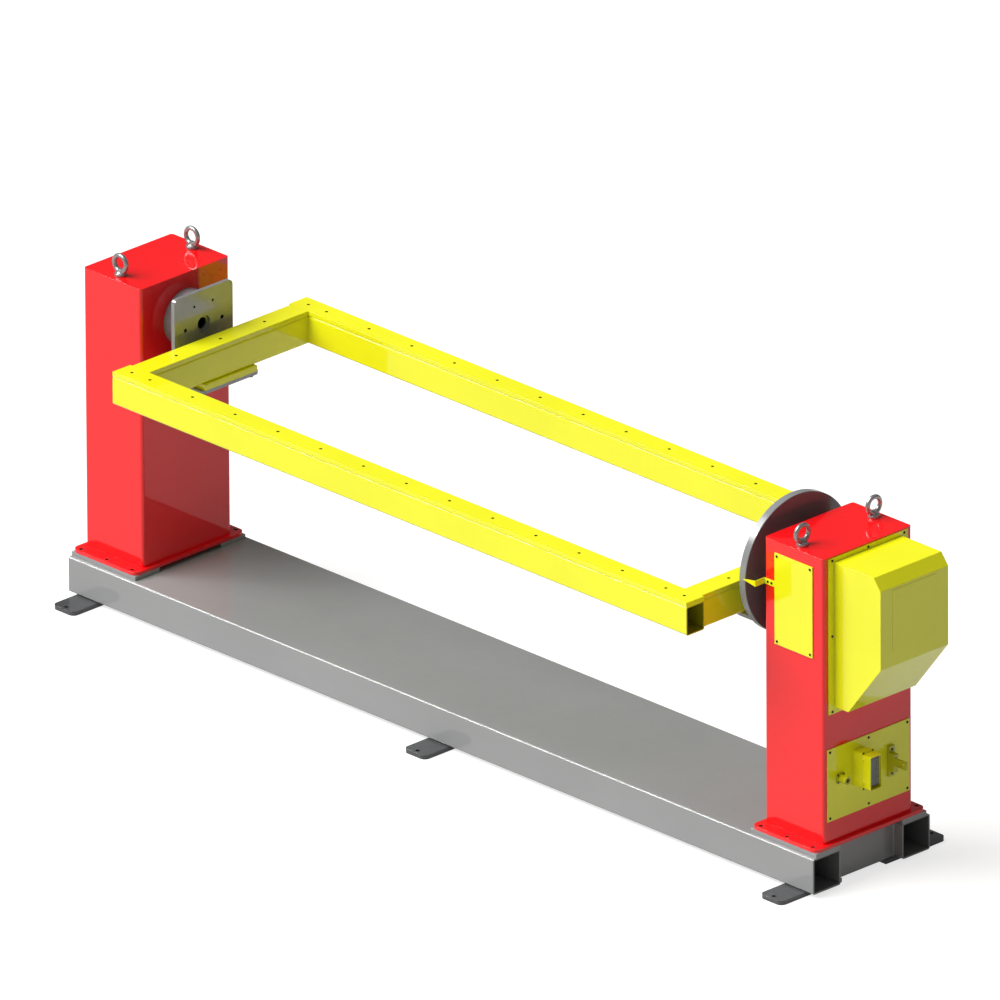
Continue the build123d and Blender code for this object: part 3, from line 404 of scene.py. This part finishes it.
def add_piece(name, bm, material, node, replaced=()):
    """Make an object of the mesh, with the body of a CAD node."""
    bmesh.ops.recalc_face_normals(bm, faces=bm.faces)
    mesh = bpy.data.meshes.new(name)
    bm.to_mesh(mesh)
    bm.free()
    mesh.polygons.foreach_set("use_smooth", [True] * len(mesh.polygons))
    mesh.set_sharp_from_angle(angle=math.radians(32))
    mesh.materials.append(material)
    piece = bpy.data.objects.new(name, mesh)
    bpy.context.scene.collection.objects.link(piece)
    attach(piece, BODIES[node])
    if replaced:
        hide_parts(*replaced)


def ring_radius(radius, shape, angle, step):
    """Radius at an angle: a hexagon across its flats, a knurled ring or a plain circle."""
    if shape == "hexagon":
        return radius / math.cos((angle + math.pi / 6) % (math.pi / 3) - math.pi / 6)
    if shape == "knurl":
        return radius * (1 - KNURL_DEPTH * (step % 2))
    return radius


def lathe(bm, place, outline, segments):
    """Turn an outline of (radius, height, shape) about the place's Z axis."""
    previous = None
    for radius, height, *shape in outline:
        ring = []
        for step in range(segments if radius else 1):
            angle = 2 * math.pi * step / segments
            out = ring_radius(radius, shape[0] if shape else "", angle, step)
            ring.append(bm.verts.new(place @ Vector((out * math.cos(angle), out * math.sin(angle),
                                                     height))))
        if previous:
            for step in range(segments):
                after = (step + 1) % segments
                face = [previous[step % len(previous)], previous[after % len(previous)],
                        ring[after % len(ring)], ring[step % len(ring)]]
                bm.faces.new(list(dict.fromkeys(face)))
        previous = ring


def threads(radius, start, end, pitch):
    """Outline of a threaded shank from start down to its chamfered tip."""
    cut = THREAD_DEPTH * pitch
    root = radius - cut
    points = []
    for i in range(int((start - end) / pitch) - 1):
        points += [(root, start - (i + 0.5) * pitch), (radius, start - (i + 1) * pitch)]
    return points + [(radius, end + cut), (root, end), (0, end)]


def islands(node):
    """Vertex places of each separate solid in a CAD node."""
    bm = bmesh.new()
    bm.from_mesh(NODES[node].data)
    bmesh.ops.remove_doubles(bm, verts=bm.verts, dist=SAME_PLACE)
    left, found = set(bm.verts), []
    while left:
        stack, group = [left.pop()], []
        while stack:
            vert = stack.pop()
            group.append(vert.co.copy())
            for edge in vert.link_edges:
                other = edge.other_vert(vert)
                if other in left:
                    left.remove(other)
                    stack.append(other)
        found.append(group)
    bm.free()
    return found


def measure_screw(group):
    """Matrix with its origin on the seat and Z towards the head, then the screw's sizes."""
    low = Vector([min(v[i] for v in group) for i in range(3)])
    high = Vector([max(v[i] for v in group) for i in range(3)])
    axis = max(range(3), key=lambda i: high[i] - low[i])
    middle = (low + high) / 2

    def out(vert):
        """Distance from the screw's axis."""
        offset = vert - middle
        offset[axis] = 0
        return offset.length

    rim = max(out(v) for v in group)
    head = [v[axis] for v in group if out(v) > HEAD_SHARE * rim]
    upward = sum(head) / len(head) > middle[axis]
    seat, top, tip = min(head), high[axis], low[axis]
    if not upward:
        seat, top, tip = max(head), low[axis], high[axis]
    shank = max(out(v) for v in group if abs(v[axis] - tip) < SAME_PLANE)
    origin = middle.copy()
    origin[axis] = seat
    direction = Vector((0, 0, 0))
    direction[axis] = 1 if upward else -1
    turn = direction.to_track_quat("Z", "Y").to_matrix().to_4x4()
    return Matrix.Translation(origin) @ turn, rim, abs(top - seat), shank, abs(seat - tip)


def button_head(rim, height, shank):
    """Outline of a domed head with a hexagon socket, from its centre to the shank."""
    flat = 0.36 * rim
    return [(0, 0.3 * height), (flat, 0.35 * height, "hexagon"), (flat, 0.92 * height, "hexagon"),
            (1.3 * flat, height), (0.66 * rim, 0.93 * height), (0.85 * rim, 0.7 * height),
            (0.96 * rim, 0.38 * height), (rim, 0.12 * height), (0.98 * rim, 0), (shank, 0)]


def cap_head(rim, height, shank):
    """Outline of a knurled cylinder head with a hexagon socket, from its centre to the shank."""
    flat = 0.46 * rim
    return [(0, 0.4 * height), (flat, 0.45 * height, "hexagon"), (flat, 0.97 * height, "hexagon"),
            (1.25 * flat, height), (0.9 * rim, height), (0.98 * rim, 0.94 * height),
            (rim, 0.88 * height, "knurl"), (rim, 0.1 * height, "knurl"),
            (0.97 * rim, 0.04 * height), (0.97 * rim, 0), (shank, 0)]


def make_screws(name, node, material, head, pitch, segments):
    """Threaded screws with a shaped head in place of a node's plain ones."""
    bm = bmesh.new()
    for group in islands(node):
        place, rim, height, shank, length = measure_screw(group)
        lathe(bm, place, head(rim, height, shank) + threads(shank, 0, -length, pitch), segments)
    add_piece(name, bm, material, node, (node,))


def make_eye(node):
    """Forged eye bolt: ring thickened at its foot, waisted neck, collar and thread."""
    low, high = corners(node)
    size, middle = high - low, (low + high) / 2
    seat = Vector((middle.x, middle.y, high.z - EYE_HEIGHT))
    up = Vector((0, 0, 1))
    across = Vector((0, 1, 0)) if size.y > size.x else Vector((1, 0, 0))
    facing = across.cross(up)
    bm = bmesh.new()
    shank = threads(EYE_SHANK, 0, -EYE_SHANK_LENGTH, EYE_THREAD)
    lathe(bm, Matrix.Translation(seat), EYE_COLLAR + shank, 40)
    centre = seat + Vector((0, 0, EYE_HEIGHT - EYE_RING - EYE_WIRE))
    rings = []
    for i in range(EYE_STEPS):
        turn = 2 * math.pi * i / EYE_STEPS
        outward = across * math.sin(turn) - up * math.cos(turn)
        wire = EYE_WIRE + EYE_FOOT * max(0.0, math.cos(turn)) ** 4
        ring = []
        for k in range(EYE_SIDES):
            angle = 2 * math.pi * k / EYE_SIDES
            point = centre + outward * (EYE_RING + wire * math.cos(angle))
            ring.append(bm.verts.new(point + facing * wire * math.sin(angle)))
        rings.append(ring)
    for i in range(EYE_STEPS):
        first, second = rings[i], rings[(i + 1) % EYE_STEPS]
        for k in range(EYE_SIDES):
            after = (k + 1) % EYE_SIDES
            bm.faces.new((first[k], second[k], second[after], first[after]))
    add_piece(f"forged_{node}", bm, ZINC, node, (node,))


def liner(bm, place, radius, depth):
    """Machined wall just inside a bolt hole, clear of its bolt, down from the place's origin."""
    groove, relief, skin = 0.0009, 0.0002, 0.0003
    walls = [(radius - skin + relief * (i % 2), 2 * skin - depth + groove * i)
             for i in range(int(depth / groove))]
    outline = [(radius, -skin), (radius, skin - depth)] + walls + [(radius, -skin)]
    lathe(bm, place, outline, 20)


def make_hole_liners():
    """Dark walls in the holes of the frame's bars and of the tailstock's plate: machined, and black
    as painted shade inside the holes.
    """
    row = [HOLE_PITCH * (i - ROW_HOLES // 2) for i in range(ROW_HOLES)]
    places = [(x, y) for x in [-CORNER_HOLE] + row + [CORNER_HOLE]
              for y in (-RAIL_MIDDLE, RAIL_MIDDLE)]
    places += [(x, HOLE_PITCH * i) for x in (-CORNER_HOLE, CORNER_HOLE) for i in (-1, 0, 1)]
    bm = bmesh.new()
    for x, y in places:
        liner(bm, Matrix.Translation((x, y, FRAME_TOP)), BAR_LINER, BAR_LINER_DEPTH)
    face = corners("tail_bracket_plate")[1].x
    for i in range(6):
        angle = i * math.pi / 3
        y, z = PLATE_CIRCLE * math.cos(angle), PLATE_CIRCLE * math.sin(angle)
        place = Matrix.Translation((face, y, AXIS_HEIGHT + z)) @ ALONG_X
        liner(bm, place, PLATE_LINERS[i % 3], PLATE_LINER_DEPTH)
    # painted shade: black walls darken the insides of the holes
    add_piece("hole_liners", bm, BLACK, "shelf_bolts")


def bead(bm, start, end, first, second, size):
    """Rippled fillet weld from start to end, between faces that run along first and second."""
    steps = max(2, int((end - start).length / WELD_RIPPLE))
    swell, beat, points, flat = 0.07, 2.1, 6, 0.72
    rings = []
    for i in range(steps + 1):
        centre = start.lerp(end, i / steps)
        reach = size * (1 + swell * math.sin(i * beat))
        arc = [centre]
        for k in range(points):
            turn = math.pi / 2 * k / (points - 1)
            bulge = reach * (flat + (1 - flat) * abs(math.cos(2 * turn)))
            arc.append(centre + (first * math.cos(turn) + second * math.sin(turn)) * bulge)
        rings.append([bm.verts.new(point) for point in arc])
    for one, two in zip(rings, rings[1:]):
        for k in range(len(one)):
            after = (k + 1) % len(one)
            bm.faces.new((one[k], two[k], two[after], one[after]))
    bm.faces.new(rings[0])
    bm.faces.new(rings[-1])


def make_end_closings():
    """Flat bar with eased edges between each end plate and the deck, and the plates' welds."""
    low, high = corners("end_plates")
    under = corners("deck_plate")[1].z - DECK_THICKNESS
    bar, welds = bmesh.new(), bmesh.new()
    for side in (-1, 1):
        outer, inner = side * high.x, side * (high.x - END_PLATE_THICKNESS)
        shape = [(inner, high.z), (inner, under), (outer - side * BAR_EASE, under),
                 (outer, under - BAR_EASE), (outer, high.z)]
        rings = [[bar.verts.new((x, y, z)) for x, z in shape] for y in (low.y, high.y)]
        for k in range(len(shape)):
            after = (k + 1) % len(shape)
            bar.faces.new((rings[0][k], rings[1][k], rings[1][after], rings[0][after]))
        for ring in rings:
            bar.faces.new(ring)
        for edge in (low.y, high.y):
            away = Vector((0, -math.copysign(1, edge), 0))
            bead(welds, Vector((outer, edge, low.z)), Vector((outer, edge, under)),
                 Vector((side, 0, 0)), away, WELD_SIZE)
    add_piece("end_closing_bars", bar, GREY, "end_plates")
    add_piece("end_plate_welds", welds, GREY, "end_plates")


def make_contacts():
    """Round-ended contact pins in the connector's insert."""
    low, high = corners("connector_insert")
    middle = (low + high) / 2
    count, pitch, spread, proud = 12, 0.007, 0.015, 0.004
    bm = bmesh.new()
    outline = [(0, 0.0), (0.0006, -0.0001), (0.0011, -0.0006), (0.0012, -0.0012), (0.0012, -0.0075),
               (0.00145, -0.0078), (0.00145, -0.0098), (0, -0.0098)]
    for side in (-1, 1):
        for i in range(count):
            rise = (i - (count - 1) / 2) * pitch
            place = Vector((high.x + proud, middle.y + side * spread, middle.z + rise))
            lathe(bm, Matrix.Translation(place) @ ALONG_X, outline, 12)
    add_piece("contact_pins", bm, CONTACT, "connector_insert")


def make_flange_screws():
    """Small cap screws in the corners of the connector's and the coupling's flanges."""
    connector_seat = corners("connector_base")[1].x + CONNECTOR_FLANGE
    coupling_seat = corners("round_coupling")[0].x + COUPLING_FLANGE
    bm = bmesh.new()
    depth = 0.003
    for node, seat, out_y, out_z, rim, height, shank in (
            ("connector_housing", connector_seat, 0.021, 0.0625, 0.00275, 0.003, 0.0015),
            ("round_coupling", coupling_seat, 0.0125, 0.0125, 0.0023, 0.0025, 0.00125)):
        low, high = corners(node)
        middle = (low + high) / 2
        outline = cap_head(rim, height, shank) + [(shank, -depth), (0, -depth)]
        for y in (middle.y - out_y, middle.y + out_y):
            for z in (middle.z - out_z, middle.z + out_z):
                lathe(bm, Matrix.Translation((seat, y, z)) @ ALONG_X, outline, 24)
    add_piece("flange_screws", bm, BLACK, "cover_screws")


make_camera()
make_world(plain=0.2, glossy=0.12)
make_floor(size=60.0, glow=0.72, mirrored=0.22)
lamp("key", 4.35, (-0.36, -0.515, 0.778), spread=0.9)
lamp("edge_light", 0.35, (-0.66, -0.48, 0.58), spread=0.12)
dress_nodes()
make_screws("button_screws", "cover_screws", BLACK, button_head, pitch=0.0008, segments=24)
for name in ("tail_front", "tail_back", "head_front", "head_back"):
    make_eye(f"lifting_eye_{name}")
make_hole_liners()
make_end_closings()
make_contacts()
make_flange_screws()
make_screws("shelf_cap_screws", "shelf_bolts", BLACK, cap_head, pitch=0.00175, segments=48)

scene = bpy.context.scene
scene.view_settings.view_transform = "Standard"
